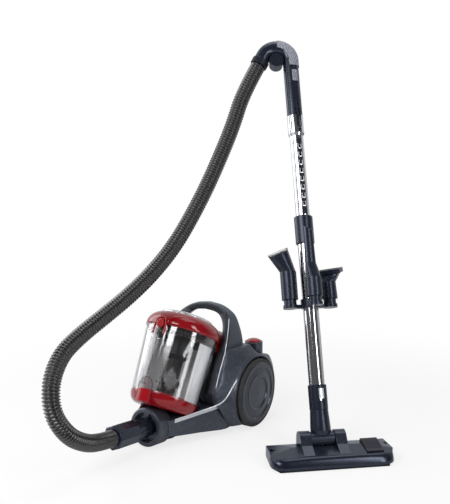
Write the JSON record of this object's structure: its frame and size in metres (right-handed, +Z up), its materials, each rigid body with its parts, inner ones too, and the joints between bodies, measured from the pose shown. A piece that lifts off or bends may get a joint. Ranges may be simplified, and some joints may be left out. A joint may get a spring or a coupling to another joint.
{
  "type": "canister vacuum cleaner",
  "caption": "Bagless canister vacuum on two large wheels and a caster, with a lift-off clear dust bin, a flexible hose, a telescopic wand with accessories and a floor head.",
  "frame": {"origin": "on the floor, below the middle of the box round the rigid pieces", "axes": "+Z up; the canister points along -Y, with its wheels' axle along X; the wand and floor head stand on the +X side"},
  "size_m": [0.6396, 0.7164, 0.9257],
  "materials": {
    "body_plastic": "metallic charcoal, speckled, glossy",
    "dark_plastic": "near black, satin",
    "black_gloss": "black, high gloss",
    "red_gloss": "red, glossy",
    "red_clear": "red, glossy, slightly see-through",
    "clear_plastic": "clear moulded plastic",
    "silver_trim": "silver painted, satin",
    "light_grip": "light grey, dotted texture",
    "chrome_tube": "polished chromed steel",
    "steel": "turned steel",
    "tyre_rubber": "soft black rubber",
    "hose_plastic": "black ribbed plastic",
    "filter_felt": "white filter felt",
    "bristle": "black bristle",
    "motor_steel": "zinc plated"
  },
  "bodies": {
    "canister": {"chassis": "body_plastic", "casing": "body_plastic", "carry_handle": "body_plastic", "trim_strips": "silver_trim", "nose_drum": "body_plastic", "wheel_axles": "steel", "inner_bracket": "dark_plastic", "motor_can": "motor_steel", "rear_grille": "dark_plastic", "exhaust_filter": "filter_felt", "cord_outlet": "dark_plastic", "casing_screws": "steel", "button_sleeves": "body_plastic", "hose": "hose_plastic", "handle_shell": "body_plastic", "grip_panel": "light_grip"},
    "left_wheel": {"left_wheel_disc": "body_plastic", "left_tyre": "tyre_rubber"},
    "right_wheel": {"right_wheel_disc": "body_plastic", "right_tyre": "tyre_rubber"},
    "caster": {"caster_fork": "dark_plastic"},
    "caster_roller": {"caster_wheel": "dark_plastic"},
    "dust_bin": {"bin_base": "red_clear", "bin_jar": "clear_plastic", "bin_lid": "red_clear", "lid_cap": "clear_plastic", "motor_filter": "filter_felt", "lid_skirt": "dark_plastic", "cyclone": "dark_plastic", "lid_duct": "red_gloss"},
    "lid_button": {"bin_button": "red_gloss"},
    "rod": {"release_rod": "dark_plastic"},
    "latch": {"base_latch": "red_gloss"},
    "power_pedal": {"power_button": "red_gloss"},
    "rewind_pedal": {"rewind_button": "red_gloss"},
    "rotor": {"motor_rotor": "motor_steel"},
    "reel": {"cord_reel": "dark_plastic"},
    "cuff": {"hose_cuff": "body_plastic"},
    "swivel_ring": {"hose_swivel_ring": "dark_plastic"},
    "air_slider": {"suction_slider": "light_grip"},
    "handle_catch": {"handle_button": "black_gloss"},
    "upper_wand": {"upper_tube": "chrome_tube", "rack_strip": "dark_plastic"},
    "lower_wand": {"lower_tube": "chrome_tube", "latch_collar": "dark_plastic", "accessory_holder": "dark_plastic", "neck_socket": "dark_plastic"},
    "wand_latch": {"latch_slider": "silver_trim"},
    "brush_tool": {"dusting_brush": "dark_plastic", "brush_bristles": "bristle"},
    "crevice": {"crevice_tool": "dark_plastic"},
    "nozzle": {"upholstery_nozzle": "dark_plastic"},
    "neck_catch": {"neck_button": "silver_trim"},
    "neck_elbow": {"elbow": "dark_plastic"},
    "floor_head": {"head_shell": "body_plastic", "head_bumper": "black_gloss", "head_sole": "dark_plastic"},
    "head_pedal": {"pedal": "dark_plastic"},
    "head_brush": {"brush_strip": "bristle"},
    "rollers": {"head_rollers": "steel"}
  },
  "joints": [
    {"name": "left_wheel_spin", "type": "hinge", "parent": "canister", "child": "left_wheel", "pos_m": [-0.05681, 0.10557, 0.0825], "axis": [1, 0, 0], "continuous": true},
    {"name": "right_wheel_spin", "type": "hinge", "parent": "canister", "child": "right_wheel", "pos_m": [-0.30581, 0.10557, 0.0825], "axis": [1, 0, 0], "continuous": true},
    {"name": "caster_swivel", "type": "hinge", "parent": "canister", "child": "caster", "pos_m": [-0.18131, -0.08443, 0.03], "axis": [0, 0, 1], "continuous": true},
    {"name": "caster_roll", "type": "hinge", "parent": "caster", "child": "caster_roller", "pos_m": [-0.18131, -0.07643, 0.016], "axis": [1, 0, 0], "continuous": true},
    {"name": "bin_lift", "type": "slide", "parent": "canister", "child": "dust_bin", "axis": [0, -0.8192, 0.5736], "range_m": [0, 0.08]},
    {"name": "bin_button_press", "type": "slide", "parent": "dust_bin", "child": "lid_button", "axis": [0, 0.9135, -0.4067], "range_m": [0, 0.0027], "stiffness_N_per_m": 300, "springref_m": -0.002},
    {"name": "release_rod_slide", "type": "slide", "parent": "dust_bin", "child": "rod", "axis": [0, -0.4067, -0.9135], "range_m": [0, 0.0027]},
    {"name": "base_latch_turn", "type": "hinge", "parent": "dust_bin", "child": "latch", "pos_m": [-0.18131, -0.14643, 0.14528], "axis": [-1, 0, 0], "range_deg": [0, 6]},
    {"name": "power_press", "type": "slide", "parent": "canister", "child": "power_pedal", "axis": [0, 0, -1], "range_m": [0, 0.003], "stiffness_N_per_m": 800, "springref_m": -0.003},
    {"name": "rewind_press", "type": "slide", "parent": "canister", "child": "rewind_pedal", "axis": [0, 0, -1], "range_m": [0, 0.003], "stiffness_N_per_m": 800, "springref_m": -0.003},
    {"name": "rotor_spin", "type": "hinge", "parent": "canister", "child": "rotor", "pos_m": [-0.16131, 0.11357, 0.092], "axis": [1, 0, 0], "continuous": true},
    {"name": "reel_spin", "type": "hinge", "parent": "canister", "child": "reel", "pos_m": [-0.23831, 0.11357, 0.092], "axis": [1, 0, 0], "continuous": true},
    {"name": "cuff_swivel", "type": "hinge", "parent": "canister", "child": "cuff", "pos_m": [-0.18131, -0.14632, 0.04652], "axis": [0, -0.9962, 0.0872], "continuous": true},
    {"name": "hose_swivel", "type": "hinge", "parent": "canister", "child": "swivel_ring", "pos_m": [-0.10608, 0.20391, 0.87026], "axis": [-0.2129, -0.517, -0.8291], "continuous": true},
    {"name": "suction_slide", "type": "slide", "parent": "canister", "child": "air_slider", "axis": [-0.2449, 0.2617, 0.9336], "range_m": [-0.006, 0.006]},
    {"name": "handle_button_press", "type": "slide", "parent": "canister", "child": "handle_catch", "axis": [-0.8051, 0.4816, -0.3462], "range_m": [0, 0.0015], "stiffness_N_per_m": 400, "springref_m": -0.001},
    {"name": "wand_pull", "type": "slide", "parent": "canister", "child": "upper_wand", "axis": [0.2449, -0.2617, -0.9336], "range_m": [0, 0.05]},
    {"name": "telescope", "type": "slide", "parent": "upper_wand", "child": "lower_wand", "axis": [0.2449, -0.2617, -0.9336], "range_m": [-0.18, 0.1]},
    {"name": "latch_slide", "type": "slide", "parent": "lower_wand", "child": "wand_latch", "axis": [0.2449, -0.2617, -0.9336], "range_m": [0, 0.003], "stiffness_N_per_m": 300, "springref_m": -0.002},
    {"name": "dusting_brush_pull", "type": "slide", "parent": "lower_wand", "child": "brush_tool", "axis": [-0.2449, 0.2617, 0.9336], "range_m": [0, 0.045]},
    {"name": "crevice_tool_pull", "type": "slide", "parent": "lower_wand", "child": "crevice", "axis": [-0.2449, 0.2617, 0.9336], "range_m": [0, 0.045]},
    {"name": "upholstery_nozzle_pull", "type": "slide", "parent": "lower_wand", "child": "nozzle", "axis": [-0.2449, 0.2617, 0.9336], "range_m": [0, 0.045]},
    {"name": "neck_button_slide", "type": "slide", "parent": "lower_wand", "child": "neck_catch", "axis": [0.2449, -0.2617, -0.9336], "range_m": [0, 0.004], "stiffness_N_per_m": 300, "springref_m": -0.002},
    {"name": "elbow_swivel", "type": "hinge", "parent": "lower_wand", "child": "neck_elbow", "pos_m": [0.15626, 0.03123, 0.10735], "axis": [-0.2449, 0.2617, 0.9336], "range_deg": [-90, 90]},
    {"name": "head_tilt", "type": "hinge", "parent": "neck_elbow", "child": "floor_head", "pos_m": [0.1734, 0.01291, 0.042], "axis": [0.7302, 0.6833, 0], "range_deg": [-20, 45]},
    {"name": "pedal_rock", "type": "hinge", "parent": "floor_head", "child": "head_pedal", "pos_m": [0.26783, 0.06567, 0.029], "axis": [-0.7302, -0.6833, 0], "range_deg": [0, 12]},
    {"name": "brush_strip_drop", "type": "slide", "parent": "floor_head", "child": "head_brush", "axis": [0, 0, -1], "range_m": [0, 0.003]},
    {"name": "roller_spin", "type": "hinge", "parent": "floor_head", "child": "rollers", "pos_m": [0.17879, 0.02618, 0.0082], "axis": [0.7302, 0.6833, 0], "continuous": true}
  ],
  "couplings": [
    {"joint": "release_rod_slide", "follows": "bin_button_press", "ratio": 1},
    {"joint": "base_latch_turn", "follows": "bin_button_press", "rad_per_m": 38.7},
    {"joint": "brush_strip_drop", "follows": "pedal_rock", "m_per_rad": 0.0143}
  ]
}
